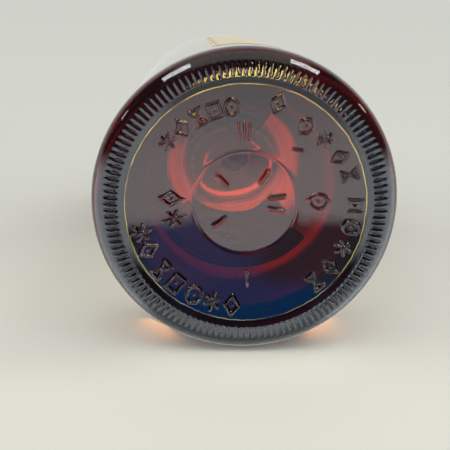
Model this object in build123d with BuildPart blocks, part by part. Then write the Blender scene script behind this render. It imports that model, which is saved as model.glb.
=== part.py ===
"""A round dark-amber glass spirits bottle with a rolled-on metal screw cap, standing on its base.

The bottle's axis is +Z and the origin is the centre of the ring it stands on. All sizes are in millimetres.
The glass is one moulded piece. Three paper labels are glued to it, a pouring ring is pressed into its mouth,
and the metal closure is a threaded cap, its sealing disc and the tamper band that stays on the neck.
"""
import os
from math import asin, cos, degrees, pi, radians, sin

from build123d import *

# ---- glass body ----
BODY_R = 40.0  # outside radius of the straight body
WALL = 3.0  # side wall
HEEL_R = 6.0  # rounding from the side down to the standing ring
SHOULDER_Z = 170.0  # where the straight body ends
SHOULDER_R = 26.0  # convex shoulder arc
SHOULDER_TURN = 60.0  # degrees that the shoulder arc turns inward
NECK_R = 14.5
GLASS_H = 268.0  # height of the lip

# ---- underside ----
RING_IN_R = 32.6  # inner edge of the ring that the bottle stands on
PUSH_UP_EDGE_R = 31.0
PUSH_UP_EDGE_Z = 1.2
PUSH_UP_SPHERE_R = 108.0  # the push-up is a shallow dome around a flat centre
CENTRE_DISC_R = 13.3
BASE_THICKNESS = 4.6  # at the centre of the base
BOWL_R = 55.0  # the inside floor is a shallow bowl, so the glass thickens towards the heel
INNER_CORNER_R = 18.0  # between the bowl and the side wall

# ---- mould marks on the underside, all raised ----
MARK_H = 0.4
CODE_BAR_R = 8.4  # the mould code is five short radial bars near the centre
CODE_BAR_SIZE = (4.6, 1.1)
CODE_BAR_ANGLES = (44.0, 125.0, 170.0, -167.0, -37.5)

# ---- mouth finish, measured down from the lip ----
BORE_R = 9.5
FINISH_R = 13.4
LIP_ROUND = 1.2
THREAD_CREST_R = 14.5
THREAD_PITCH = 3.18
THREAD_TURNS = 1.8
THREAD_END_DROP = 10.4
BEAD_R = 14.9  # the tamper band locks under this bead
BEAD_DROPS = (15.6, 18.2)
TRANSFER_R = 16.2
TRANSFER_DROPS = (22.0, 25.8)
BORE_LENGTH = 24.0
NECK_WALL = 3.4

# ---- closure ----
CAP_R = 15.75  # a 31.5 mm rolled-on closure, 24 mm tall with its band
CAP_INNER_R = 15.4
CAP_TOP = 0.5
CAP_SKIRT_DROP = 15.2
CAP_THREAD_CREST_R = 14.0
CAP_THREAD_TURNS = 1.4
LINER_R = 14.7
LINER_T = 1.5
BAND_GAP = 0.3  # the broken bridges between cap and band
BAND_BOTTOM_DROP = 21.1
BAND_TUCK_R = 14.3

# ---- pouring ring ----
FLANGE_R = 11.6
FLANGE_T = 0.8
PLUG_R = 9.3
FIN_R = 9.46
PLUG_LENGTH = 12.0
POUR_R = 6.8

# ---- labels ----
PAPER = 0.12
GLUE_GAP = 0.01
# name: (radius of the glass, low z, high z, start angle, end angle); angles in degrees from +X towards +Y
LABELS = {
    "front_label": (BODY_R, 34.0, 130.0, -142.0, -26.0),
    "back_label": (BODY_R, 22.0, 138.0, 78.2, 114.0),
    "neck_label": (NECK_R, 216.0, 234.0, -264.0, 88.0),
}


def push_up_z(r):
    """Height of the domed underside at radius r."""
    return PUSH_UP_EDGE_Z + (PUSH_UP_EDGE_R**2 - r**2) / (2 * PUSH_UP_SPHERE_R)


def thread_ridge(root_r, crest_r, root_half, crest_half, turns, z_low):
    """A right-hand helical ridge from radius root_r to crest_r, as a separate solid."""
    height = turns * THREAD_PITCH
    with BuildPart() as ridge:
        with BuildLine(Plane.XY.offset(z_low)):
            Helix(pitch=THREAD_PITCH, height=height, radius=root_r)
        with BuildSketch(Plane(origin=(root_r, 0, z_low), x_dir=(1, 0, 0), z_dir=(0, -1, 0))):
            with BuildLine():
                out = crest_r - root_r
                Polyline((0, -root_half), (out, -crest_half), (out, crest_half), (0, root_half), close=True)
            make_face()
        sweep(is_frenet=True)
    return ridge.part


def export(piece, name):
    piece.label = name
    export_step(piece, f"parts/{name}.step")


os.makedirs("parts", exist_ok=True)

# ---------------------------------------------------------------- glass bottle
disc_z = push_up_z(CENTRE_DISC_R) + 0.2
inner_r = BODY_R - WALL
turn = radians(SHOULDER_TURN)
shoulder_centre_r = BODY_R - SHOULDER_R
shoulder_end = (shoulder_centre_r + SHOULDER_R * cos(turn), SHOULDER_Z + SHOULDER_R * sin(turn))
neck_arc_r = (shoulder_end[0] - NECK_R) / (1 - cos(turn))
neck_z = shoulder_end[1] + neck_arc_r * sin(turn)
inner_neck_r = NECK_R - NECK_WALL
inner_shoulder_r = SHOULDER_R - WALL
inner_end = (shoulder_centre_r + inner_shoulder_r * cos(turn), SHOULDER_Z + inner_shoulder_r * sin(turn))
inner_arc_r = (inner_end[0] - inner_neck_r) / (1 - cos(turn))
inner_neck_z = inner_end[1] + inner_arc_r * sin(turn)
inner_bottom_z = disc_z + BASE_THICKNESS
bowl_centre_z = inner_bottom_z + BOWL_R
corner_centre_r = inner_r - INNER_CORNER_R
corner_angle = asin(corner_centre_r / (BOWL_R - INNER_CORNER_R))  # of the bowl's edge, from straight down
corner_centre = (corner_centre_r, bowl_centre_z - (BOWL_R - INNER_CORNER_R) * cos(corner_angle))
bowl_edge = (BOWL_R * sin(corner_angle), bowl_centre_z - BOWL_R * cos(corner_angle))
bowl_middle = (BOWL_R * sin(corner_angle / 2), bowl_centre_z - BOWL_R * cos(corner_angle / 2))
lip_z = GLASS_H
bead_low, bead_high = lip_z - BEAD_DROPS[1], lip_z - BEAD_DROPS[0]
ring_low, ring_high = lip_z - TRANSFER_DROPS[1], lip_z - TRANSFER_DROPS[0]

with BuildPart() as glass_bottle:
    with BuildSketch(Plane.XZ):
        with BuildLine():
            disc_foot = (CENTRE_DISC_R + 0.4, push_up_z(CENTRE_DISC_R + 0.4))
            Polyline((0, disc_z), (CENTRE_DISC_R, disc_z), disc_foot)
            mid_r = (CENTRE_DISC_R + PUSH_UP_EDGE_R) / 2
            ThreePointArc(
                (CENTRE_DISC_R + 0.4, push_up_z(CENTRE_DISC_R + 0.4)),
                (mid_r, push_up_z(mid_r)),
                (PUSH_UP_EDGE_R, PUSH_UP_EDGE_Z),
            )
            Polyline(
                (PUSH_UP_EDGE_R, PUSH_UP_EDGE_Z), (RING_IN_R - 0.4, 0.25), (RING_IN_R, 0), (BODY_R - HEEL_R, 0)
            )
            CenterArc((BODY_R - HEEL_R, HEEL_R), HEEL_R, -90, 90)
            Line((BODY_R, HEEL_R), (BODY_R, SHOULDER_Z))
            CenterArc((shoulder_centre_r, SHOULDER_Z), SHOULDER_R, 0, SHOULDER_TURN)
            CenterArc((NECK_R + neck_arc_r, neck_z), neck_arc_r, 180 + SHOULDER_TURN, -SHOULDER_TURN)
            Polyline(
                (NECK_R, neck_z),
                (NECK_R, ring_low),
                (TRANSFER_R - 0.5, ring_low + 0.7),
                (TRANSFER_R, ring_low + 1.4),
                (TRANSFER_R, ring_high - 0.9),
                (TRANSFER_R - 0.7, ring_high),
                (FINISH_R, ring_high + 0.5),
                (FINISH_R, bead_low),
                (BEAD_R, bead_low + 0.6),
                (BEAD_R, bead_high - 0.9),
                (FINISH_R, bead_high),
                (FINISH_R, lip_z - LIP_ROUND),
            )
            CenterArc((FINISH_R - LIP_ROUND, lip_z - LIP_ROUND), LIP_ROUND, 0, 90)
            Polyline(
                (FINISH_R - LIP_ROUND, lip_z),
                (BORE_R, lip_z),
                (BORE_R, lip_z - BORE_LENGTH),
                (inner_neck_r, lip_z - BORE_LENGTH - 6),
                (inner_neck_r, inner_neck_z),
            )
            CenterArc((inner_neck_r + inner_arc_r, inner_neck_z), inner_arc_r, 180, SHOULDER_TURN)
            CenterArc((shoulder_centre_r, SHOULDER_Z), inner_shoulder_r, SHOULDER_TURN, -SHOULDER_TURN)
            Line((inner_r, SHOULDER_Z), (inner_r, corner_centre[1]))
            CenterArc(corner_centre, INNER_CORNER_R, 0, degrees(corner_angle) - 90)
            ThreePointArc(bowl_edge, bowl_middle, (0, inner_bottom_z))
            Line((0, inner_bottom_z), (0, disc_z))
        make_face()
    revolve(axis=Axis.Z)
    add(
        thread_ridge(
            FINISH_R - 0.3, THREAD_CREST_R, 1.05, 0.45, THREAD_TURNS, lip_z - THREAD_END_DROP
        )
    )
    # the mould code: raised bars that point at the centre of the base
    for angle in CODE_BAR_ANGLES:
        with BuildSketch(Plane.XY.offset(disc_z)):
            with Locations((CODE_BAR_R * cos(radians(angle)), CODE_BAR_R * sin(radians(angle)))):
                SlotOverall(*CODE_BAR_SIZE, rotation=angle)
        extrude(amount=-MARK_H)
glass = glass_bottle.part
export(glass, "glass_bottle")

# ---------------------------------------------------------------- paper labels
for name, (glass_r, low, high, start, end) in LABELS.items():
    inside, outside = glass_r + GLUE_GAP, glass_r + GLUE_GAP + PAPER
    with BuildPart() as label:
        with BuildSketch(Plane.XY.offset(low)):
            with BuildLine():
                CenterArc((0, 0), outside, start, end - start)
                CenterArc((0, 0), inside, start, end - start)
                for angle in (start, end):
                    direction = Vector(cos(radians(angle)), sin(radians(angle)))
                    Line(direction * inside, direction * outside)
            make_face()
        extrude(amount=high - low)
    export(label.part, name)

# ---------------------------------------------------------------- pouring ring
fin_zs = [lip_z - 3.0 - 2.5 * i for i in range(3)]
with BuildPart() as pouring_ring:
    with BuildSketch(Plane.XZ):
        with BuildLine():
            Polyline(
                (POUR_R, lip_z - PLUG_LENGTH),
                (PLUG_R - 0.6, lip_z - PLUG_LENGTH),
                (PLUG_R, lip_z - PLUG_LENGTH + 1.5),
                (PLUG_R, lip_z),
                (FLANGE_R, lip_z),
                (FLANGE_R, lip_z + FLANGE_T),
                (POUR_R + 0.8, lip_z + FLANGE_T),
                (POUR_R, lip_z - 1.5),
                close=True,
            )
        make_face()
        for z in fin_zs:
            with BuildLine():
                Polyline((PLUG_R - 0.2, z - 0.5), (FIN_R, z), (PLUG_R - 0.2, z + 0.5), close=True)
            make_face()
    revolve(axis=Axis.Z)
export(pouring_ring.part, "pouring_ring")

# ---------------------------------------------------------------- cap, sealing disc and tamper band
liner_low = lip_z + FLANGE_T + 0.02
liner_high = liner_low + LINER_T
cap_high = liner_high + 0.05 + CAP_TOP
cap_low = lip_z - CAP_SKIRT_DROP

with BuildPart() as cap_liner:
    with BuildSketch(Plane.XY.offset(liner_low)):
        Circle(LINER_R)
    extrude(amount=LINER_T)
export(cap_liner.part, "cap_liner")

with BuildPart() as cap_shell:
    with BuildSketch(Plane.XZ):
        with BuildLine():
            Polyline(
                (0, cap_high),
                (CAP_R - 1.0, cap_high),
                (CAP_R - 0.3, cap_high - 0.3),
                (CAP_R, cap_high - 1.0),
                (CAP_R, cap_low),
                (CAP_INNER_R, cap_low),
                (CAP_INNER_R, cap_high - 1.0),
                (CAP_INNER_R - 0.5, cap_high - CAP_TOP),
                (0, cap_high - CAP_TOP),
                close=True,
            )
        make_face()
    revolve(axis=Axis.Z)
    # the cap's rolled thread sits midway between the turns of the glass thread
    add(
        thread_ridge(
            CAP_INNER_R + 0.1,
            CAP_THREAD_CREST_R,
            0.85,
            0.25,
            CAP_THREAD_TURNS,
            lip_z - THREAD_END_DROP + THREAD_PITCH / 2 - THREAD_PITCH,
        )
    )
export(cap_shell.part, "cap_shell")

band_high = cap_low - BAND_GAP
band_low = lip_z - BAND_BOTTOM_DROP
with BuildPart() as tamper_band:
    with BuildSketch(Plane.XZ):
        with BuildLine():
            tuck_z = bead_low - 0.3
            Polyline(
                (CAP_INNER_R, band_high),
                (CAP_R, band_high),
                (CAP_R, tuck_z),
                (BAND_TUCK_R + 0.4, band_low),
                (BAND_TUCK_R, band_low),
                (CAP_INNER_R, tuck_z + 0.1),
                close=True,
            )
        make_face()
    revolve(axis=Axis.Z)
export(tamper_band.part, "tamper_band")

litre_mm3 = 1e6
print("glass volume", round(glass.volume), "mm3; straight body holds about",
      round(pi * inner_r**2 * (SHOULDER_Z - corner_centre[1]) / litre_mm3, 3), "litre")
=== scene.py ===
"""The visual model of the amber bottle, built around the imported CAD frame.

Everything is in metres in the row frame: the bottle's axis is +Z, it stands on z = 0, and its front label
faces -Y.
The camera looks at the underside, as if the bottle lay on a table with its back label up.
"""

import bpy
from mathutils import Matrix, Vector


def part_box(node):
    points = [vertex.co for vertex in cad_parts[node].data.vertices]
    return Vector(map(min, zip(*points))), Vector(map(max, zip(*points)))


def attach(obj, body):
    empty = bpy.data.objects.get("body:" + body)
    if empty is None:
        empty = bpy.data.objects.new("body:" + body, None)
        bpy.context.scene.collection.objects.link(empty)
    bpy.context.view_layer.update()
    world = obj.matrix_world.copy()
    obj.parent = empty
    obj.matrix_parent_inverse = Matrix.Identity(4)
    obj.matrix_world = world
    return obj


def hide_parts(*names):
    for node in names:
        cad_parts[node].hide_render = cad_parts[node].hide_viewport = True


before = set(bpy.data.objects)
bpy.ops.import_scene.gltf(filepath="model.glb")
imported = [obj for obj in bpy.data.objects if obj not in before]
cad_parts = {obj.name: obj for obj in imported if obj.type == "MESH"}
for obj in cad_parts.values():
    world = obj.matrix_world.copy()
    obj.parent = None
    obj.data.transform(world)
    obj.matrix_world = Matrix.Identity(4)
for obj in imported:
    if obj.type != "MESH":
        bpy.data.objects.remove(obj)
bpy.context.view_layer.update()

from math import asin, cos, pi, radians, sin, sqrt, tau

import bpy
import numpy as np
from mathutils import Matrix, Vector

MM = 0.001

# ---- sizes of the glass, taken from the frame where it has them ----
GLASS_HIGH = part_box("glass_bottle")[1]
BODY_R = GLASS_HIGH.x
LIP_Z = GLASS_HIGH.z
WALL = 3 * MM
HEEL_R = 6 * MM
SHOULDER_Z = 170 * MM
SHOULDER_R = 26 * MM
SHOULDER_TURN = radians(60)
NECK_R = 14.5 * MM
NECK_WALL = 3.4 * MM

# ---- underside ----
RING_IN_R = 32.8 * MM
PUSH_UP_EDGE_R = 31.5 * MM
PUSH_UP_EDGE_Z = 0.75 * MM
PUSH_UP_SPHERE_R = 108 * MM
DISC_R = 13.3 * MM
BASE_THICKNESS = 4.6 * MM
BOWL_R = 55 * MM  # the inside floor is a shallow bowl
INNER_CORNER_R = 18 * MM
FLOOR_BLEND = 5 * MM  # how far each way the bowl and the corner run into each other
# radius of the painted glint, a warm metallic line on the glass that stands in for light caught at the
# push-up's edge
GLINT_R = 31.0 * MM
RIBS = 132
RIB_DEPTH = 0.38 * MM
RIB_INNER_END = (32.7 * MM, 33.4 * MM)  # the ribs fade in between these radii
RIB_OUTER_END = (35.6 * MM, 36.6 * MM)  # and out between these
RIB_SHARPNESS = 2.2

# ---- points round the glass: the underside has the ribs and marks, so it has the most ----
FINE = RIBS * 8
MEDIUM = RIBS * 2
COARSE = RIBS

# ---- raised marks, in mm ----
MARK_SCALE = 1.2
MARK_HALF_WIDTH = 0.33
CODE_HALF_WIDTH = 0.6
MARK_HEIGHT = 0.6

# ---- mouth ----
BORE_R = 9.5 * MM
FINISH_R = 13.4 * MM
THREAD_PITCH = 3.18 * MM
THREAD_TURNS = 1.8
THREAD_END_Z = LIP_Z - 10.4 * MM
THREAD_HEIGHT = 1.1 * MM


# ---------------------------------------------------------------- mesh helpers
def smoothstep(low, high, x):
    t = np.clip((x - low) / (high - low), 0, 1)
    return t * t * (3 - 2 * t)


def angles(count):
    return np.arange(count) * tau / count


def ring(count, r, z):
    """One ring of a surface of revolution. r and z are numbers, or arrays with a value for each point."""
    return count, np.broadcast_to(r, count).astype(float), np.broadcast_to(z, count).astype(float)


def bridge(a, na, b, nb):
    """Faces between two rings, whose first vertices are a and b. One count divides the other."""
    if na == nb:
        return [(a + j, a + (j + 1) % na, b + (j + 1) % nb, b + j) for j in range(na)]
    faces = []
    if nb == 1 or na == 1:
        n = max(na, nb)
        for j in range(n):
            k = (j + 1) % n
            faces.append((a + j, a + k, b) if nb == 1 else (a, b + k, b + j))
        return faces
    coarse = min(na, nb)
    step = max(na, nb) // coarse
    middle = step // 2
    for j in range(coarse):
        k = (j + 1) % coarse
        for i in range(step):
            near = j if i < middle else k
            low, high = j * step + i, (j * step + i + 1) % (coarse * step)
            faces.append((a + low, a + high, b + near) if na > nb else (a + near, b + high, b + low))
        centre = (j * step + middle) % (coarse * step)
        faces.append((a + centre, b + k, b + j) if na > nb else (a + j, a + k, b + centre))
    return faces


def mesh_object(name, points, faces, smooth=True):
    mesh = bpy.data.meshes.new(name)
    mesh.from_pydata([tuple(p) for p in points], [], faces)
    mesh.polygons.foreach_set("use_smooth", [smooth] * len(mesh.polygons))
    mesh.update()
    obj = bpy.data.objects.new(name, mesh)
    bpy.context.scene.collection.objects.link(obj)
    return obj


def revolved(name, rings, closed=False, sharp=None):
    """A surface from rings in profile order: outward underneath, up the outside, down the inside."""
    points, starts = [], []
    for count, r, z in rings:
        starts.append(len(points))
        t = angles(count)
        points.extend(np.stack([r * np.cos(t), r * np.sin(t), z], axis=1))
    faces = []
    pairs = list(zip(range(len(rings)), range(1, len(rings))))
    if closed:
        pairs.append((len(rings) - 1, 0))
    for i, j in pairs:
        faces += bridge(starts[i], rings[i][0], starts[j], rings[j][0])
    obj = mesh_object(name, points, faces)
    if sharp:
        obj.data.set_sharp_from_angle(angle=sharp)
    return obj


def arc(centre, radius, start, turn, count):
    """Points (r, z) along an arc; angles in radians from +r towards +z."""
    along = [start + turn * i / count for i in range(count + 1)]
    return [(centre[0] + radius * cos(angle), centre[1] + radius * sin(angle)) for angle in along]


def steps(low, high, spacing):
    """Values from low to high, about spacing apart."""
    return list(np.linspace(low, high, max(2, round(abs(high - low) / spacing) + 1)))


# ---------------------------------------------------------------- material helpers
def new_material(name):
    material = bpy.data.materials.new(name)
    material.use_nodes = True
    nodes = material.node_tree.nodes
    return material, material.node_tree, nodes["Principled BSDF"], nodes["Material Output"]


def node(tree, kind, settings=(), **inputs):
    """A shader node with its inputs set. i0 is the first input, an underscore in a name stands for a space,
    and a socket is linked.
    """
    made = tree.nodes.new(kind)
    for key, value in dict(settings).items():
        setattr(made, key, value)
    for key, value in inputs.items():
        numbered = key[0] == "i" and key[1:].isdigit()
        socket = made.inputs[int(key[1:]) if numbered else key.replace("_", " ")]
        if isinstance(value, bpy.types.NodeSocket):
            tree.links.new(value, socket)
        else:
            socket.default_value = value
    return made


def maths(tree, operation, a, b=0.0):
    return node(tree, "ShaderNodeMath", {"operation": operation}, i0=a, i1=b).outputs[0]


def length_2d(tree, x, y):
    squares = maths(tree, "ADD", maths(tree, "MULTIPLY", x, x), maths(tree, "MULTIPLY", y, y))
    return maths(tree, "SQRT", squares)


def noise(tree, place, scale, detail, roughness=0.5):
    made = node(tree, "ShaderNodeTexNoise", Vector=place, Scale=scale, Detail=detail, Roughness=roughness)
    return made.outputs[0]


def remap(tree, value, low, high, to_low=0.0, to_high=1.0, kind="LINEAR"):
    """Turns the range from low to high into to_low to to_high, and holds its ends beyond it."""
    ends = {"From_Min": low, "From_Max": high, "To_Min": to_low, "To_Max": to_high}
    return node(tree, "ShaderNodeMapRange", {"interpolation_type": kind}, Value=value, **ends).outputs[0]


def mix_colour(tree, factor, a, b, blend="MIX"):
    settings = {"data_type": "RGBA", "blend_type": blend}
    return node(tree, "ShaderNodeMix", settings, i0=factor, i6=a, i7=b).outputs[2]


# ---------------------------------------------------------------- marks on the underside
def mark_strokes():
    """Every raised mark as strokes: both ends, half width and height, in metres on the underside.

    The marks are plain mould symbols in the places where such a base has its marks.
    """
    strokes = []

    def place(r, azimuth, shape, scale=MARK_SCALE, half=MARK_HALF_WIDTH):
        """shape is a list of segments in mm, x along the circle and y outwards."""
        out = Vector((cos(radians(azimuth)), sin(radians(azimuth))))
        along = Vector((-out.y, out.x))
        centre = out * r * MM
        for x0, y0, x1, y1 in shape:
            a = centre + (along * x0 + out * y0) * scale * MM
            b = centre + (along * x1 + out * y1) * scale * MM
            strokes.append((a, b, half * MM, MARK_HEIGHT * MM))

    dot = [(0, 0.01, 0, -0.01)]
    lozenge = [(-1.5, 0, 0, 2.1), (0, 2.1, 1.5, 0), (1.5, 0, 0, -2.1), (0, -2.1, -1.5, 0)] + dot
    hourglass = [
        (-1.3, 1.9, 1.3, 1.9), (1.3, 1.9, -1.3, -1.9), (-1.3, -1.9, 1.3, -1.9), (1.3, -1.9, -1.3, 1.9),
    ]
    star = [(0, -1.9, 0, 1.9), (-1.5, -0.9, 1.5, 0.9), (-1.5, 0.9, 1.5, -0.9)]
    tile = [
        (-1.4, -1.7, 1.4, -1.7), (1.4, -1.7, 1.4, 1.7), (1.4, 1.7, -1.4, 1.7), (-1.4, 1.7, -1.4, -1.7), *dot,
    ]
    eighths = [(1.7 * cos(i * pi / 4), 1.9 * sin(i * pi / 4)) for i in range(9)]
    wheel = dot + [(*a, *b) for a, b in zip(eighths, eighths[1:])]
    palette = [lozenge, star, wheel, tile, hourglass]

    def run(r_start, r_end, azimuths, first, scale=MARK_SCALE):
        """A row of marks along part of a circle whose radius changes evenly."""
        for i, azimuth in enumerate(azimuths):
            r = r_start + (r_end - r_start) * i / max(1, len(azimuths) - 1)
            place(r, azimuth, palette[(first + i) % len(palette)], scale)

    run(27.3, 28.0, [-83, -72, -61, -49, -38, -25, -15], 0)
    run(27.7, 28.1, [-132, -144, -156, -168, 180], 4, 1.05)
    run(27.6, 25.2, [163, 152, 139, 126], 4, 1.05)
    run(25.4, 26.0, [81, 71, 61, 50, 39], 2, 1.1)
    place(19.4, 4, lozenge)
    place(19.0, -12, star)
    place(19.0, 178, wheel)
    for offset in (-4.2, 0, 4.2):
        place(19.0, 88 + offset, [(0, -1.7, 0, 1.7)])
    place(19.8, -92, [(0, -1.6, 0, 1.6)])
    place(19.4, 133, [(-0.9, -0.6, 0.9, 0.6)])
    place(27.2, 106, lozenge)
    for azimuth in (44.0, 125.0, 170.0, -167.0, -37.5):  # the mould code, as in the CAD
        place(8.4, azimuth, [(0, -1.75, 0, 1.75)], 1.0, CODE_HALF_WIDTH)
    return strokes


STROKES = mark_strokes()


def mark_height(r, count):
    """Height of the raised marks at every point of a ring."""
    t = angles(count)
    points = np.stack([r * np.cos(t), r * np.sin(t)], axis=1)
    height = np.zeros(count)
    for a, b, half, top in STROKES:
        reach = half + (b - a).length / 2
        middle = (a + b) / 2
        if abs(middle.length - r) > reach:
            continue
        run = np.array(b - a)
        along = np.clip((points - np.array(a)) @ run / max(run @ run, 1e-12), 0, 1)
        distance = np.linalg.norm(points - np.array(a) - along[:, None] * run, axis=1)
        height = np.maximum(height, top * (1 - smoothstep(0.35, 1.15, distance / half)))
    return height


# ---------------------------------------------------------------- glass
def push_up_z(r):
    return PUSH_UP_EDGE_Z + (PUSH_UP_EDGE_R**2 - r**2) / (2 * PUSH_UP_SPHERE_R)


DISC_Z = push_up_z(DISC_R) + 0.2 * MM


def underside_z(r):
    """Height of the underside at radius r, without marks or ribs."""
    if r <= DISC_R:
        return DISC_Z
    dome = push_up_z(min(r, PUSH_UP_EDGE_R))
    if r <= PUSH_UP_EDGE_R:
        step = float(smoothstep(DISC_R, DISC_R + 0.7 * MM, r))
        return DISC_Z + (dome - DISC_Z) * step
    if r < RING_IN_R:
        slope = float(smoothstep(PUSH_UP_EDGE_R - 0.3 * MM, RING_IN_R + 0.2 * MM, r))
        return PUSH_UP_EDGE_Z * (1 - slope)
    return 0.0


def rib_valley(r, count):
    """How deep the grooves between the ribs are at every point of a ring."""
    t = angles(count)
    reach = float(smoothstep(*RIB_INNER_END, r) * (1 - smoothstep(*RIB_OUTER_END, r)))
    return RIB_DEPTH * reach * (0.5 - 0.5 * np.cos(RIBS * t)) ** RIB_SHARPNESS


def inner_floor_bump(r, t):
    """The inside floor's unevenness, left by the blown glass settling: broad swells, none near the wall."""
    x, y = r * np.cos(t) / MM, r * np.sin(t) / MM

    def mound(height, x0, y0, spread):
        return height * np.exp(-((x - x0) ** 2 + (y - y0) ** 2) / spread)

    swell = mound(0.55, 3, -4, 60) - mound(0.45, -7, 8, 45)
    swell += mound(0.35, 12, 10, 50) - 0.25 * np.sin(x / 6 + 0.6) * np.cos(y / 7 - 0.3)
    return 0.6 * swell * MM * (1 - smoothstep(20 * MM, 31 * MM, r))


def thread_height(z, count):
    """How far the helical thread stands out at every point of a ring at height z."""
    t = angles(count)
    height = np.zeros(count)
    for turn in range(-1, 3):
        travelled = t / tau + turn
        centre = THREAD_END_Z + travelled * THREAD_PITCH
        fade = smoothstep(0, 0.08, travelled) * (1 - smoothstep(THREAD_TURNS - 0.08, THREAD_TURNS, travelled))
        shape = 1 - smoothstep(0.35 * MM, 1.1 * MM, np.abs(z - centre))
        height = np.maximum(height, THREAD_HEIGHT * fade * shape)
    return height


def make_glass():
    rings = [ring(1, 0, DISC_Z)]
    # underside: the centre disc, then the dome with its marks, then the ribbed ring
    for r in steps(1 * MM, 5 * MM, 1 * MM) + steps(5.25 * MM, 11.5 * MM, 0.25 * MM) + [12.2 * MM, 12.9 * MM]:
        rings.append(ring(MEDIUM, r, underside_z(r) - mark_height(r, MEDIUM)))
    rings.append(ring(MEDIUM, DISC_R, DISC_Z))
    marked = [13.55 * MM, 13.8 * MM, 14.1 * MM] + steps(14.8 * MM, 16.8 * MM, 0.8 * MM)
    marked += steps(17.0 * MM, 21.6 * MM, 0.2 * MM) + [22.2 * MM] + steps(22.8 * MM, 32.0 * MM, 0.2 * MM)
    for r in marked:
        rings.append(ring(FINE, r, underside_z(r) - mark_height(r, FINE)))
    for r in steps(32.2 * MM, BODY_R - HEEL_R, 0.2 * MM):
        rings.append(ring(FINE, r, underside_z(r) + rib_valley(r, FINE)))
    heel = arc((BODY_R - HEEL_R, HEEL_R), HEEL_R, -pi / 2, pi / 2, 16)
    for r, z in heel[1:-1]:
        rings.append(ring(FINE, r, z + rib_valley(r, FINE)))
    rings.append(ring(MEDIUM, *heel[-1]))
    # outside: straight body, shoulder, neck
    for z in steps(8 * MM, SHOULDER_Z - 4 * MM, 22 * MM):
        rings.append(ring(COARSE, BODY_R, z))
    shoulder_r = BODY_R - SHOULDER_R
    turn = SHOULDER_TURN
    end_r, end_z = shoulder_r + SHOULDER_R * cos(turn), SHOULDER_Z + SHOULDER_R * sin(turn)
    neck_arc = (end_r - NECK_R) / (1 - cos(turn))
    neck_z = end_z + neck_arc * sin(turn)
    for r, z in arc((shoulder_r, SHOULDER_Z), SHOULDER_R, 0, turn, 14):
        rings.append(ring(COARSE, r, z))
    for r, z in arc((NECK_R + neck_arc, neck_z), neck_arc, pi + turn, -turn, 12)[1:]:
        rings.append(ring(COARSE, r, z))
    for r, drop in (
        (14.5, 26.6), (14.52, 26.0), (14.8, 25.4), (15.5, 25.05), (16.0, 24.6), (16.2, 24.0), (16.2, 23.5),
        (16.05, 22.9), (15.6, 22.3), (15.0, 21.95), (14.0, 21.6), (13.5, 21.3), (13.4, 20.8), (13.4, 19.0),
        (13.5, 18.6), (13.9, 18.2), (14.6, 17.8), (14.88, 17.4), (14.9, 17.0), (14.75, 16.4), (14.2, 15.9),
        (13.6, 15.5), (13.4, 15.0), (13.4, 12.2),
    ):
        rings.append(ring(COARSE, r * MM, LIP_Z - drop * MM))
    for z in steps(LIP_Z - 11.8 * MM, LIP_Z - 2.4 * MM, 0.28 * MM):
        rings.append(ring(COARSE, FINISH_R + thread_height(z, COARSE), z))
    lip = 1.2 * MM
    for r, z in arc((FINISH_R - lip, LIP_Z - lip), lip, 0, pi / 2, 5):
        rings.append(ring(COARSE, r, z))
    for r, z in arc((BORE_R + 0.4 * MM, LIP_Z - 0.4 * MM), 0.4 * MM, pi / 2, pi / 2, 3):
        rings.append(ring(COARSE, r, z))
    # inside: bore, neck, shoulder, body, rounded corner, uneven floor
    inner_neck = NECK_R - NECK_WALL
    for r, drop in ((9.5, 12), (9.5, 23.5), (9.6, 24.5), (10.4, 27.5), (11.0, 29.6)):
        rings.append(ring(COARSE, r * MM, LIP_Z - drop * MM))
    inner_shoulder = SHOULDER_R - WALL
    end_r, end_z = shoulder_r + inner_shoulder * cos(turn), SHOULDER_Z + inner_shoulder * sin(turn)
    inner_arc = (end_r - inner_neck) / (1 - cos(turn))
    inner_z = end_z + inner_arc * sin(turn)
    for r, z in arc((inner_neck + inner_arc, inner_z), inner_arc, pi, turn, 12):
        rings.append(ring(COARSE, r, z))
    for r, z in arc((shoulder_r, SHOULDER_Z), inner_shoulder, turn, -turn, 14)[1:]:
        rings.append(ring(COARSE, r, z))
    inner_r = BODY_R - WALL
    bowl_z = DISC_Z + BASE_THICKNESS + BOWL_R
    lean = asin((inner_r - INNER_CORNER_R) / (BOWL_R - INNER_CORNER_R))
    corner = (inner_r - INNER_CORNER_R, bowl_z - (BOWL_R - INNER_CORNER_R) * cos(lean))
    for z in steps(SHOULDER_Z - 8 * MM, corner[1] + 6 * MM, 22 * MM):
        rings.append(ring(COARSE, inner_r, z))
    t = angles(MEDIUM)
    join_r = BOWL_R * sin(lean)

    def floor_z(r):
        """The bowl and its rounded corner, averaged so that they run into each other."""
        heights = []
        for shift in np.linspace(-FLOOR_BLEND, FLOOR_BLEND, 11):
            at = min(abs(r + shift), inner_r - 0.6 * MM)
            if at < join_r:
                heights.append(bowl_z - sqrt(BOWL_R**2 - at**2))
            else:
                heights.append(corner[1] - sqrt(INNER_CORNER_R**2 - (at - corner[0]) ** 2))
        return sum(heights) / len(heights)

    for r, z in arc(corner, INNER_CORNER_R, 0, -pi / 3, 10):
        blend = float(smoothstep(35 * MM, 30 * MM, r))
        rings.append(ring(MEDIUM, r, z + (floor_z(r) - z) * blend + inner_floor_bump(r, t)))
    for r in steps(27.2 * MM, 0.8 * MM, 0.8 * MM):
        rings.append(ring(MEDIUM, r, floor_z(r) + inner_floor_bump(r, t)))
    rings.append(ring(1, 0, floor_z(0.0) + inner_floor_bump(0.0, np.zeros(1))))
    glass = revolved("amber_glass_bottle", rings)
    glass.data.materials.append(glass_material())
    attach(glass, "bottle")
    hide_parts("glass_bottle")


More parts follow.
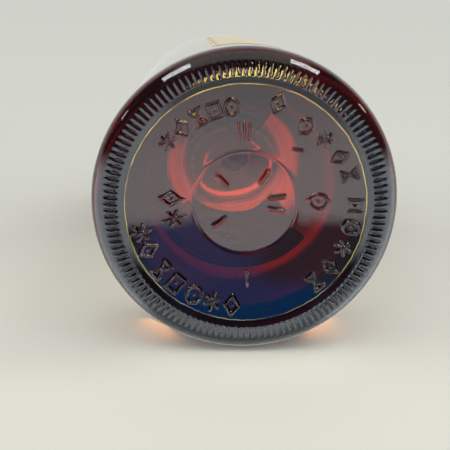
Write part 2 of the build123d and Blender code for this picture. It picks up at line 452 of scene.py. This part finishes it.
def glass_material():
    """Dark amber glass: clear surfaces, and a body that lets through little but red."""
    material, tree, shader, output = new_material("amber_glass")
    shader.inputs["Base Color"].default_value = (1, 1, 1, 1)
    shader.inputs["Transmission Weight"].default_value = 1.0
    shader.inputs["IOR"].default_value = 1.52
    shader.inputs["Roughness"].default_value = 0.0
    place = node(tree, "ShaderNodeTexCoord").outputs["Object"]
    ripple = noise(tree, place, 220.0, 2.0)
    swell = noise(tree, place, 75.0, 1.0)
    uneven = maths(tree, "ADD", ripple, maths(tree, "MULTIPLY", swell, 1.5))
    bump = node(tree, "ShaderNodeBump", Strength=0.06, Distance=0.0004, Height=uneven)
    tree.links.new(bump.outputs[0], shader.inputs["Normal"])
    # a painted glint: a thin warm metallic line where the push-up meets the standing ring, broken in places,
    # standing in for the light that this edge catches
    x, y, z = node(tree, "ShaderNodeSeparateXYZ", Vector=place).outputs
    radius = length_2d(tree, x, y)
    waver = noise(tree, place, 480.0, 3.0)
    middle = maths(tree, "ADD", maths(tree, "MULTIPLY", waver, 0.7 * MM), GLINT_R - 0.35 * MM)
    away = maths(tree, "ABSOLUTE", maths(tree, "SUBTRACT", radius, middle))
    line = remap(tree, away, 0.05 * MM, 0.13 * MM, 1.0, 0.0)
    glint_breaks = remap(tree, noise(tree, place, 70.0, 4.0), 0.38, 0.52, 0.15, 0.9)
    line = maths(tree, "MULTIPLY", maths(tree, "MULTIPLY", line, glint_breaks), maths(tree, "LESS_THAN", z, 3 * MM))
    # the painted glint itself: warm metal that shows as a bright line
    painted_glint = node(tree, "ShaderNodeBsdfPrincipled", Metallic=1.0, Roughness=0.45)
    painted_glint.inputs["Base Color"].default_value = (0.50, 0.38, 0.12, 1)
    surface = node(tree, "ShaderNodeMixShader", i0=line, i1=shader.outputs[0], i2=painted_glint.outputs[0]).outputs[0]
    tree.links.new(surface, output.inputs["Surface"])
    absorb = tree.nodes.new("ShaderNodeVolumeAbsorption")
    absorb.inputs["Color"].default_value = (0.80, 0.34, 0.06, 1)
    absorb.inputs["Density"].default_value = 650.0
    tree.links.new(absorb.outputs[0], output.inputs["Volume"])
    return material


# ---------------------------------------------------------------- paper labels
LABELS = {
    # name: (radius of the glass, low z, high z, start angle, end angle, middle ornament)
    "front_label": (BODY_R, 34 * MM, 130 * MM, -142.0, -26.0, True),
    "back_label": (BODY_R, 22 * MM, 138 * MM, 78.2, 114.0, False),
    "neck_label": (NECK_R, 216 * MM, 234 * MM, -264.0, 88.0, False),
}


def make_label(name, glass_r, low, high, start, end, ornament):
    """A sheet of paper glued round the glass, closed all round, and thinner towards its edges."""
    start, end = radians(start), radians(end)
    across = max(24, round((end - start) / tau * MEDIUM))
    rows = max(8, round((high - low) / (2 * MM)))
    width = (end - start) * glass_r
    points, uvs = [], []
    for side in (1, 0):  # the printed side, then the glued side
        for j in range(rows + 1):
            for i in range(across + 1):
                u, v = i / across, j / rows
                t, z = start + (end - start) * u, low + (high - low) * v
                edge = min(u * width, (1 - u) * width, z - low, high - z)
                curl = 0.25 + 0.75 * float(smoothstep(0, 1.2 * MM, edge))
                wave = 0.5 + 0.5 * sin(7.1 * u + 2.3) * cos(5.7 * v + 0.4)
                r = glass_r - 0.012 * MM
                if side:
                    r = glass_r + (0.045 + 0.065 * curl * (0.75 + 0.25 * wave)) * MM
                points.append((r * cos(t), r * sin(t), z))
                uvs.append((u * width, z - low))
    row = across + 1
    back = row * (rows + 1)
    faces = []
    for j in range(rows):
        for i in range(across):
            a, d = j * row + i, (j + 1) * row + i
            b, c = a + 1, d + 1
            faces.append((a, b, c, d))
            faces.append((back + d, back + c, back + b, back + a))
    rim = list(range(across)) + [j * row + across for j in range(rows)]
    rim += [rows * row + i for i in range(across, 0, -1)] + [j * row for j in range(rows, 0, -1)]
    for a, b in zip(rim, rim[1:] + rim[:1]):
        faces.append((b, a, back + a, back + b))
    label = mesh_object("paper_" + name, points, faces)
    label.data.set_sharp_from_angle(angle=radians(50))
    layer = label.data.uv_layers.new(name="print")
    order = np.empty(len(label.data.loops), dtype=np.int64)
    label.data.loops.foreach_get("vertex_index", order)
    layer.data.foreach_set("uv", np.array(uvs)[order].ravel())
    label.data.materials.append(paper_material("paper_" + name, width, high - low, ornament))
    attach(label, "bottle")
    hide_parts(name)


def paper_material(name, width, height, ornament):
    """Cream laid paper with a printed frame, a lattice band and, as the ornament, a rayed medallion."""
    material, tree, shader, output = new_material(name)
    uv = node(tree, "ShaderNodeUVMap", {"uv_map": "print"}).outputs[0]
    u, v, _ = node(tree, "ShaderNodeSeparateXYZ", Vector=uv).outputs

    def stripe(value, centre, half):
        """1 where value is within half of centre, with a soft edge."""
        away = maths(tree, "ABSOLUTE", maths(tree, "SUBTRACT", value, centre))
        edge = 0.06 * MM
        return remap(tree, away, half - edge, half + edge, 1.0, 0.0)

    def join(*values):
        result = values[0]
        for value in values[1:]:
            result = maths(tree, "MAXIMUM", result, value)
        return result

    def frame_line(inset, half):
        """A rectangular line at that distance inside the label's edge."""
        du = maths(tree, "ABSOLUTE", maths(tree, "SUBTRACT", u, width / 2))
        dv = maths(tree, "ABSOLUTE", maths(tree, "SUBTRACT", v, height / 2))
        du, dv = maths(tree, "SUBTRACT", du, width / 2), maths(tree, "SUBTRACT", dv, height / 2)
        return stripe(maths(tree, "MAXIMUM", du, dv), -inset, half)

    gold = join(frame_line(1.1 * MM, 0.28 * MM), frame_line(2.0 * MM, 0.09 * MM))
    if height > 40 * MM:
        band = join(stripe(v, 6.2 * MM, 2.6 * MM), stripe(v, height - 6.2 * MM, 2.6 * MM))
    else:
        band = stripe(v, height / 2, 4.2 * MM)
    inside = stripe(u, width / 2, width / 2 - 2.9 * MM)
    pitch = 2.6 * MM
    up = maths(tree, "PINGPONG", maths(tree, "ADD", u, v), pitch / 2)
    down = maths(tree, "PINGPONG", maths(tree, "SUBTRACT", u, v), pitch / 2)
    lattice = join(stripe(up, 0.0, 0.16 * MM), stripe(down, 0.0, 0.16 * MM))
    seeds = maths(tree, "MULTIPLY", stripe(up, pitch / 2, 0.24 * MM), stripe(down, pitch / 2, 0.24 * MM))
    print_mask = maths(tree, "MULTIPLY", maths(tree, "MULTIPLY", band, inside), join(lattice, seeds))
    gold = join(gold, print_mask)
    if ornament:
        x = maths(tree, "SUBTRACT", u, width / 2)
        y = maths(tree, "MULTIPLY", maths(tree, "SUBTRACT", v, height / 2), 0.72)
        distance = length_2d(tree, x, y)
        turn = maths(tree, "ARCTAN2", y, x)
        rays = maths(tree, "GREATER_THAN", maths(tree, "COSINE", maths(tree, "MULTIPLY", turn, 48.0)), 0.35)
        rayed = maths(tree, "MULTIPLY", rays, stripe(distance, 15.5 * MM, 3.2 * MM))
        rings = [stripe(distance, r * MM, half * MM) for r, half in ((20.0, 0.3), (11.2, 0.25), (9.9, 0.1))]
        wave = maths(tree, "ABSOLUTE", maths(tree, "COSINE", maths(tree, "MULTIPLY", turn, 4.0)))
        petals = maths(tree, "LESS_THAN", distance, maths(tree, "MULTIPLY", 6.5 * MM, wave))
        flower = maths(tree, "MULTIPLY", petals, maths(tree, "GREATER_THAN", distance, 1.4 * MM))
        gold = join(gold, rayed, *rings, flower)
    fibres = noise(tree, uv, 900.0, 4.0, 0.7)
    stain = noise(tree, uv, 35.0, 3.0)
    laid = maths(tree, "SINE", maths(tree, "MULTIPLY", v, tau / (0.9 * MM)))
    paper = mix_colour(tree, fibres, (0.80, 0.73, 0.54, 1), (0.70, 0.62, 0.44, 1))
    paper = mix_colour(tree, maths(tree, "MULTIPLY", stain, 0.35), paper, (0.60, 0.50, 0.32, 1))
    worn = maths(tree, "MULTIPLY", gold, maths(tree, "GREATER_THAN", fibres, 0.40))
    ink = mix_colour(tree, stain, (0.50, 0.33, 0.13, 1), (0.34, 0.20, 0.08, 1))
    tree.links.new(mix_colour(tree, worn, paper, ink), shader.inputs["Base Color"])
    rough = remap(tree, worn, 0.0, 1.0, 0.72, 0.38)
    tree.links.new(rough, shader.inputs["Roughness"])
    relief = maths(tree, "ADD", fibres, maths(tree, "MULTIPLY", laid, 0.15))
    relief = maths(tree, "ADD", relief, maths(tree, "MULTIPLY", gold, 0.5))
    bump = node(tree, "ShaderNodeBump", Strength=0.35, Distance=0.00006, Height=relief)
    tree.links.new(bump.outputs[0], shader.inputs["Normal"])
    return material


# ---------------------------------------------------------------- closure
CAP_LOW_Z, CAP_TOP_Z = (corner.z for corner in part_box("cap_shell"))
CAP_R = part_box("cap_shell")[1].x
BAND_LOW_Z, BAND_HIGH_Z = (corner.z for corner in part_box("tamper_band"))
SHEET = 0.24 * MM  # thickness of the rolled aluminium
CAP_POINTS = 480  # round the cap and the band, five to each knurl
KNURLS = 96
KNURL_DEPTH = 0.30 * MM
PLEATS = 36
BRIDGES = 10
ROLLED_TURNS = 1.4
ROLLED_DEPTH = 0.62 * MM


def rolled_thread(z, t):
    """How deep the rolled groove is at height z: it follows the glass thread, half a pitch below it."""
    depth = np.zeros(len(t))
    for turn in range(-1, 3):
        travelled = t / tau + turn
        centre = THREAD_END_Z - THREAD_PITCH / 2 + travelled * THREAD_PITCH
        fade = smoothstep(0, 0.12, travelled) * (1 - smoothstep(ROLLED_TURNS - 0.12, ROLLED_TURNS, travelled))
        shape = 1 - smoothstep(0.2 * MM, 1.0 * MM, np.abs(z - centre))
        depth = np.maximum(depth, ROLLED_DEPTH * fade * shape)
    return depth


def bridge_stub(t, phase):
    """1 at the torn bridges between cap and band, 0 between them."""
    return smoothstep(0.90, 0.97, np.cos(BRIDGES * t + phase))


def make_cap():
    t = angles(CAP_POINTS)
    knurls = KNURL_DEPTH * (0.5 - 0.5 * np.cos(t * KNURLS))
    outside = [(1, 0.0, CAP_TOP_Z - 0.06 * MM)]
    for r, drop in (
        (2, 0.06), (5, 0.06), (8, 0.05), (10.2, 0.04), (10.6, 0.06), (10.9, 0.12), (11.3, 0.13), (11.6, 0.07),
        (12.0, 0.01), (13.2, 0), (14.2, 0),
    ):
        outside.append((CAP_POINTS, r * MM, CAP_TOP_Z - drop * MM))
    corner = 1.3 * MM
    for r, z in arc((CAP_R - corner, CAP_TOP_Z - corner), corner, pi / 2, -pi / 2, 6)[1:]:
        outside.append((CAP_POINTS, r, z))
    rows = [CAP_TOP_Z - drop * MM for drop in (1.8, 2.1, 2.4, 3.0, 4.0, 5.0, 5.5, 5.8, 6.1)]
    rows += steps(CAP_TOP_Z - 6.5 * MM, CAP_LOW_Z + 2.2 * MM, 0.3 * MM)
    rows += [CAP_LOW_Z + rise * MM for rise in (1.8, 1.5, 1.2, 0.9, 0.6, 0.3)]
    for z in rows:
        down = z - CAP_TOP_Z
        knurled = float(smoothstep(-6.0 * MM, -5.5 * MM, down) * (1 - smoothstep(-2.3 * MM, -1.9 * MM, down)))
        groove = 0.35 * MM * float(np.exp(-(((z - CAP_LOW_Z - 1.5 * MM) / (0.45 * MM)) ** 2)))
        outside.append((CAP_POINTS, CAP_R - knurled * knurls - rolled_thread(z, t) - groove, z))
    torn = 0.12 * MM * (1 - bridge_stub(t, 0.0))
    outside.append((CAP_POINTS, CAP_R - 0.02 * MM, CAP_LOW_Z + torn))
    inside = []
    for count, r, z in reversed(outside):
        if count == 1:
            inside.append((1, 0.0, z - SHEET))
        elif np.ndim(z):  # the torn edge
            inside.append((count, r - SHEET, z))
        else:
            inner = r - SHEET if z < CAP_TOP_Z - 1.0 * MM else np.minimum(r, 15.1 * MM)
            inside.append((count, inner, min(z, CAP_TOP_Z - 0.45 * MM)))
    cap = revolved("rolled_screw_cap", [ring(*r) for r in outside + inside], sharp=radians(55))
    # the profile runs from the top centre down the outside, so its faces are turned to point outwards
    cap.data.flip_normals()
    cap.data.materials.append(lacquer_material())
    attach(cap, "cap")
    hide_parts("cap_shell")


def make_band():
    t = angles(CAP_POINTS)
    torn = 0.10 * MM * (1 - bridge_stub(t, 0.35))
    tuck_z = LIP_Z - 18.5 * MM
    pleats = 0.10 * MM * (0.5 - 0.5 * np.cos(t * PLEATS))
    outer = [(CAP_R - 0.02 * MM, BAND_HIGH_Z - torn), (CAP_R, BAND_HIGH_Z - 0.4 * MM)]
    outer += [(CAP_R, z) for z in steps(BAND_HIGH_Z - 0.8 * MM, tuck_z + 0.4 * MM, 0.5 * MM)]
    for i in range(1, 7):
        s = i / 6
        outer.append((CAP_R - 1.05 * MM * s**1.4 - pleats * s, tuck_z - (tuck_z - BAND_LOW_Z) * s * 0.97))
    inner = [(r - SHEET - 0.02 * MM, z) for r, z in reversed(outer)]
    inner[0] = (inner[0][0], inner[0][1] + 0.03 * MM)
    rings = [ring(CAP_POINTS, r, z) for r, z in outer + inner]
    band = revolved("tamper_evident_band", rings, closed=True, sharp=radians(55))
    band.data.flip_normals()
    band.data.materials.append(lacquer_material())
    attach(band, "band")
    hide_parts("tamper_band")


def lacquer_material():
    """Gold-lacquered aluminium: satin, with fine rolling lines round it and light handling scratches."""
    material, tree, shader, output = new_material("gold_lacquer")
    place = node(tree, "ShaderNodeTexCoord").outputs["Object"]
    shader.inputs["Metallic"].default_value = 1.0
    shader.inputs["Coat Weight"].default_value = 0.35
    shader.inputs["Coat Roughness"].default_value = 0.12
    stretched = node(tree, "ShaderNodeMapping", Vector=place, Scale=(60.0, 60.0, 9000.0)).outputs[0]
    lines = noise(tree, stretched, 1.0, 2.0)
    handling = noise(tree, place, 260.0, 4.0)
    tone = mix_colour(tree, handling, (0.72, 0.52, 0.22, 1), (0.60, 0.42, 0.17, 1))
    tree.links.new(tone, shader.inputs["Base Color"])
    rough = remap(tree, handling, 0.3, 0.7, 0.22, 0.38)
    tree.links.new(rough, shader.inputs["Roughness"])
    bump = node(tree, "ShaderNodeBump", Strength=0.15, Distance=0.00004, Height=lines)
    tree.links.new(bump.outputs[0], shader.inputs["Normal"])
    return material


def plastic_material(name, colour, darker, roughness, grain):
    material, tree, shader, output = new_material(name)
    place = node(tree, "ShaderNodeTexCoord").outputs["Object"]
    cloud = noise(tree, place, 180.0, 3.0)
    tree.links.new(mix_colour(tree, cloud, (*colour, 1), (*darker, 1)), shader.inputs["Base Color"])
    shader.inputs["Roughness"].default_value = roughness
    fine = noise(tree, place, grain, 2.0)
    bump = node(tree, "ShaderNodeBump", Strength=0.2, Distance=0.00003, Height=fine)
    tree.links.new(bump.outputs[0], shader.inputs["Normal"])
    return material


def make_pouring_ring():
    """The plastic insert: a flange on the lip, a plug with three sealing fins, and a flared mouth."""
    profile = [(6.8, -11.9), (7.0, -12.0), (8.5, -12.0), (8.7, -11.95), (9.25, -10.6), (9.3, -10.2)]
    for fin in (8.0, 5.5, 3.0):
        profile += [(9.3, -fin - 0.45), (9.45, -fin - 0.05), (9.45, -fin + 0.05), (9.3, -fin + 0.45)]
    profile += [
        (9.3, -0.4), (9.3, 0.02), (9.6, 0.02), (11.4, 0.02), (11.58, 0.1), (11.6, 0.4), (11.58, 0.7),
        (11.4, 0.8), (9.0, 0.8), (7.8, 0.8), (7.55, 0.72), (7.4, 0.4), (6.95, -1.0), (6.82, -1.6),
        (6.8, -2.2), (6.8, -7.0),
    ]
    rings = [ring(COARSE, r * MM, LIP_Z + rise * MM) for r, rise in profile]
    insert = revolved("pouring_insert", rings, closed=True, sharp=radians(45))
    plastic = plastic_material("natural_polyethylene", (0.86, 0.86, 0.82), (0.80, 0.80, 0.75), 0.42, 2400.0)
    insert.data.materials.append(plastic)
    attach(insert, "bottle")
    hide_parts("pouring_ring")


def make_liner():
    """The sealing disc, with the ring that the lip has pressed into its underside."""
    low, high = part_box("cap_liner")
    top, bottom, out = high.z, low.z, high.x
    pressed = ((0, 0), (5, 0), (7.2, 0), (7.8, 0.01), (9.4, 0.02), (11.7, 0.02), (12.1, 0), (14.3, 0))
    profile = [(r * MM, bottom + rise * MM) for r, rise in pressed]
    edge = 0.25 * MM
    profile += arc((out - edge, bottom + edge), edge, -pi / 2, pi / 2, 4)
    profile += arc((out - edge, top - edge), edge, 0, pi / 2, 4)
    profile += [(r * MM, top) for r in (12, 8, 4, 0)]
    rings = [ring(1 if r == 0 else COARSE, r, z) for r, z in profile]
    liner = revolved("sealing_disc", rings, sharp=radians(50))
    foam = plastic_material("foamed_liner", (0.88, 0.87, 0.82), (0.80, 0.79, 0.73), 0.65, 4200.0)
    liner.data.materials.append(foam)
    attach(liner, "liner")
    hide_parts("cap_liner")


# ---------------------------------------------------------------- stage, light and camera
TABLE_Y = -BODY_R - 0.2 * MM
PAINTED_FALLOFF = (0.04, 0.15)  # painted light: the stage goes from its lighter near tone to its darker far tone between these distances
FADE_OUT = (0.3, 1.3)  # and gives way to the backdrop between these
CAMERA_PLACE = (0.0144, 0.0454, -0.1929)
CAMERA_FORWARD = (-0.0448, -0.2512, 0.9669)
CAMERA_UP = (0, 0.9679, 0.2514)
CAMERA_LENS = 62.4


def stage_material(name, near, far):
    """Matt and one-sided: seen from behind, the surface isn't there, so it never hides the object."""
    material, tree, shader, output = new_material(name)
    place = node(tree, "ShaderNodeTexCoord").outputs["Object"]
    grain = noise(tree, place, 9.0, 3.0)
    distance = node(tree, "ShaderNodeVectorMath", {"operation": "LENGTH"}, i0=place).outputs["Value"]
    # painted light: the surface is lighter near the object and darker further off, standing in for how the
    # light falls on it
    tone = mix_colour(tree, remap(tree, distance, *PAINTED_FALLOFF), (*near, 1), (*far, 1))
    grainy = mix_colour(tree, grain, (0.97, 0.97, 0.97, 1), (1, 1, 1, 1))
    tree.links.new(mix_colour(tree, 1.0, tone, grainy, "MULTIPLY"), shader.inputs["Base Color"])
    shader.inputs["Roughness"].default_value = 0.6
    shader.inputs["Specular IOR Level"].default_value = 0.2
    behind = node(tree, "ShaderNodeNewGeometry").outputs["Backfacing"]
    clear = tree.nodes.new("ShaderNodeBsdfTransparent").outputs[0]
    fade = remap(tree, distance, *FADE_OUT, kind="SMOOTHSTEP")
    hidden = maths(tree, "MAXIMUM", behind, fade)
    mixed = node(tree, "ShaderNodeMixShader", i0=hidden, i1=shader.outputs[0], i2=clear)
    tree.links.new(mixed.outputs[0], output.inputs["Surface"])
    return material


def stage_plane(name, corners, material):
    plane = mesh_object(name, corners, [(0, 1, 2, 3)], smooth=False)
    plane.data.materials.append(material)
    return plane


def make_stage():
    near, far, half = -0.055, 40, 20
    # each surface's near colour is lighter than its far one: painted light
    table = stage_plane(
        "table",
        [(-half, TABLE_Y, near), (-half, TABLE_Y, far), (half, TABLE_Y, far), (half, TABLE_Y, near)],
        stage_material("table_white", (0.93, 0.93, 0.87), (0.70, 0.71, 0.665)),
    )
    # light from every side reaches the label that faces the table, as it does when the bottle stands
    table.visible_diffuse = table.visible_shadow = table.visible_glossy = table.visible_transmission = False
    floor = stage_plane(
        "standing_floor",
        [(-half, -half, 0), (half, -half, 0), (half, half, 0), (-half, half, 0)],
        stage_material("floor_white", (0.80, 0.80, 0.745), (0.74, 0.74, 0.69)),
    )
    floor.visible_glossy = floor.visible_transmission = floor.visible_diffuse = floor.visible_shadow = False


def make_world():
    """A pale room: a plain backdrop for the camera, one room to reflect and one seen through the glass."""
    world = bpy.data.worlds.new("room")
    bpy.context.scene.world = world
    world.use_nodes = True
    tree = world.node_tree
    tree.nodes.clear()
    direction = node(tree, "ShaderNodeTexCoord").outputs["Generated"]
    axes = node(tree, "ShaderNodeSeparateXYZ", Vector=direction)
    x, y, z = axes.outputs

    def ramp(value, low, high):
        return remap(tree, value, low, high, kind="SMOOTHSTEP")

    # reflected, in front: the bright table, a dark stretch above it, then blue; at the sides: bright low down
    table_light = mix_colour(tree, ramp(y, -0.30, -0.85), (2.75, 2.65, 2.7, 1), (0.9, 1.0, 1.05, 1))
    dark = mix_colour(tree, ramp(x, -0.12, 0.05), (0.35, 0.5, 1.3, 1), (0.3, 0.3, 0.4, 1))
    blue = mix_colour(tree, ramp(y, 0.19, 0.25), (0.08, 0.42, 1.35, 1), (0.10, 0.10, 0.13, 1))
    overhead = mix_colour(tree, ramp(y, 0.02, 0.10), dark, blue)
    aside = maths(tree, "ABSOLUTE", x)
    overhead = mix_colour(tree, ramp(aside, 0.36, 0.44), overhead, (0.20, 0.20, 0.26, 1))
    overhead = mix_colour(tree, ramp(y, 0.66, 0.86), overhead, (1.1, 1.05, 1.0, 1))
    front = mix_colour(tree, ramp(y, -0.20, -0.13), table_light, overhead)
    side = mix_colour(tree, ramp(y, -0.02, 0.20), (2.5, 2.75, 2.9, 1), (0.10, 0.10, 0.12, 1))
    front = mix_colour(tree, ramp(aside, 0.42, 0.60), front, side)
    upper_room = mix_colour(tree, ramp(z, 0.30, 0.70), (0.10, 0.10, 0.11, 1), (1.0, 1.0, 0.97, 1))
    room = mix_colour(tree, ramp(y, 0.12, 0.40), (0.75, 0.75, 0.70, 1), upper_room)
    seen_by_glass = mix_colour(tree, ramp(z, 0.55, 0.15), room, front)
    # behind, seen through the base: a bright arch round the axis, open to one side of the top
    spread = length_2d(tree, x, y)
    gap = maths(tree, "MULTIPLY", ramp(y, 0.06, 0.14), ramp(x, -0.17, -0.11))
    arch = maths(tree, "MULTIPLY", ramp(spread, 0.235, 0.265), ramp(spread, 0.38, 0.33))
    arch = maths(tree, "MULTIPLY", arch, maths(tree, "SUBTRACT", 1.0, gap))
    wide = mix_colour(tree, ramp(x, 0.1, -0.5), (0.50, 0.50, 0.46, 1), (1.3, 1.2, 1.1, 1))
    behind = mix_colour(tree, ramp(spread, 0.45, 0.9), (0.10, 0.10, 0.10, 1), wide)
    behind = mix_colour(tree, arch, behind, (2.2, 2.1, 2.0, 1))
    around = mix_colour(tree, ramp(y, -0.2, 0.9), (0.50, 0.50, 0.46, 1), (0.62, 0.62, 0.58, 1))
    through = mix_colour(tree, ramp(z, 0.15, 0.45), around, behind)
    rays = node(tree, "ShaderNodeLightPath").outputs
    soft_light = mix_colour(tree, ramp(y, -0.6, 0.8), (0.62, 0.62, 0.58, 1), (0.84, 0.84, 0.80, 1))
    colour = mix_colour(tree, rays["Is Transmission Ray"], seen_by_glass, through)
    colour = mix_colour(tree, rays["Is Diffuse Ray"], colour, soft_light)
    backdrop = mix_colour(tree, ramp(y, -0.14, 0.03), (0.665, 0.67, 0.615, 1), (0.63, 0.64, 0.59, 1))
    colour = mix_colour(tree, rays["Is Camera Ray"], colour, backdrop)
    background = node(tree, "ShaderNodeBackground", Color=colour, Strength=1.0)
    output = tree.nodes.new("ShaderNodeOutputWorld")
    tree.links.new(background.outputs[0], output.inputs[0])


def aim(obj, place, forward, up):
    """Puts obj at place, looking along forward."""
    back = -Vector(forward).normalized()
    right = Vector(up).cross(back).normalized()
    over = back.cross(right)
    obj.matrix_world = Matrix.Translation(Vector(place)) @ Matrix((right, over, back)).transposed().to_4x4()


def area_light(name, place, target, size, power, colour=(1, 1, 1)):
    data = bpy.data.lights.new(name, "AREA")
    data.shape = "RECTANGLE"
    data.size, data.size_y = size
    data.energy = power
    data.color = colour
    light = bpy.data.objects.new(name, data)
    bpy.context.scene.collection.objects.link(light)
    aim(light, place, Vector(target) - Vector(place), (0.01, 0.02, 1))
    light.visible_camera = False
    return light


def make_lights():
    warm, cool, orange = (1.0, 0.98, 0.94), (0.96, 0.98, 1.0), (1.0, 0.42, 0.14)
    reflected, thrown = [], []  # lights that only reflections show, and lights that only fall on surfaces
    for side, name, power in ((1, "left", 1.3), (-1, "right", 2.9)):
        key = area_light("key_" + name, (side * 0.9, 1.3, 0.2), (0, 0, 0.05), (0.7, 0.35), power, warm)
        key.visible_glossy = False
        for pane in range(3):
            spot = (side * 0.85, 1.45, -0.52 + 0.24 * pane)
            title = f"window_{name}_{pane + 1}"
            reflected.append(area_light(title, spot, (0, 0, 0.02), (0.42, 0.17), 3.2, cool))
        spot = (side * 1.5, 0.83, 0.02)
        reflected.append(area_light("side_" + name, spot, (0, 0, 0.02), (0.14, 0.20), 0.8, cool))
        # light that the glass throws on the table beside it
        spot, target = (side * 0.021, -0.0355, 0.014), (side * 0.026, -0.0402, 0.010)
        thrown.append(area_light("glow_" + name, spot, target, (0.008, 0.028), 0.0006, orange))
    spot, target = (0, -0.022, -0.004), (0, -0.0402, -0.001)
    thrown.append(area_light("contact_fill", spot, target, (0.05, 0.006), 0.0016, (1.0, 0.96, 0.84)))
    # a warm card before the base, which the ribs at the top of the standing ring reflect
    spot, target = (-0.0025, 0.0335, -0.014), (-0.0025, 0.0335, 0.0)
    reflected.append(area_light("warm_card", spot, target, (0.022, 0.007), 0.009, (1.0, 0.78, 0.18)))
    for light in reflected:
        light.visible_diffuse = light.visible_transmission = False
    for light in thrown:
        light.visible_glossy = light.visible_transmission = False


def make_camera():
    data = bpy.data.cameras.new("camera")
    camera = bpy.data.objects.new("camera", data)
    bpy.context.scene.collection.objects.link(camera)
    bpy.context.scene.camera = camera
    data.sensor_width = 36
    data.lens = CAMERA_LENS
    data.clip_start = 0.01
    data.clip_end = 100
    aim(camera, CAMERA_PLACE, CAMERA_FORWARD, CAMERA_UP)


make_glass()
for label_name, facts in LABELS.items():
    make_label(label_name, *facts)
make_cap()
make_band()
make_pouring_ring()
make_liner()
make_stage()
make_world()
make_lights()
make_camera()
bpy.context.scene.view_settings.view_transform = "Standard"
